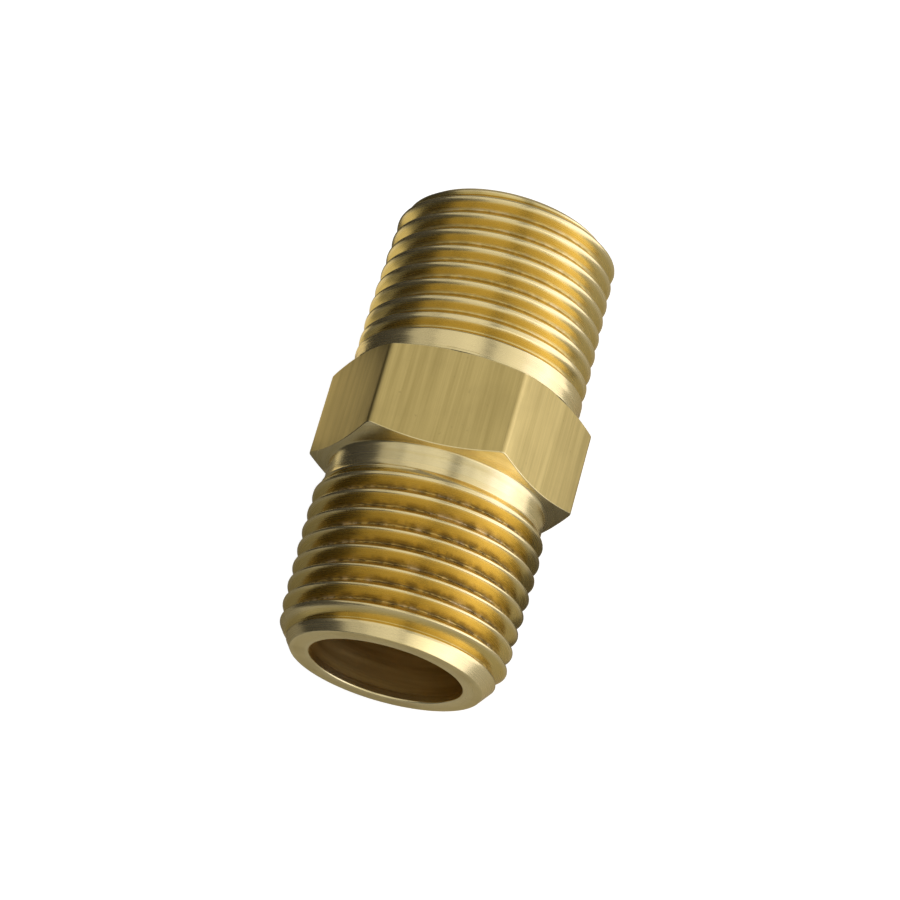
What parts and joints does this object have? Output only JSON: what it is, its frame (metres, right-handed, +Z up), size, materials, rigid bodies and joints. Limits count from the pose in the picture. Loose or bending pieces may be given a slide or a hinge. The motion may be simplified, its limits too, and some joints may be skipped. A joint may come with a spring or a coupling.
{
  "type": "hex nipple",
  "caption": "Short brass pipe nipple with a hexagonal wrench collar in the middle, a tapered male pipe thread on each end and a straight bore right through.",
  "frame": {"origin": "middle of the wrench flat that the nipple lies on, halfway along its length", "axes": "+Y along the bore, from the end with the relief groove to the plain end; +Z up, square to the flat it lies on; +X across two hex corners"},
  "size_m": [0.0196, 0.0356, 0.0172],
  "materials": {
    "machined_brass": "bare free-machining brass: drawn satin flats, bright turned neck and nose, darker torn thread roots"
  },
  "bodies": {
    "root": {"nipple_body": "machined_brass"}
  },
  "joints": []
}
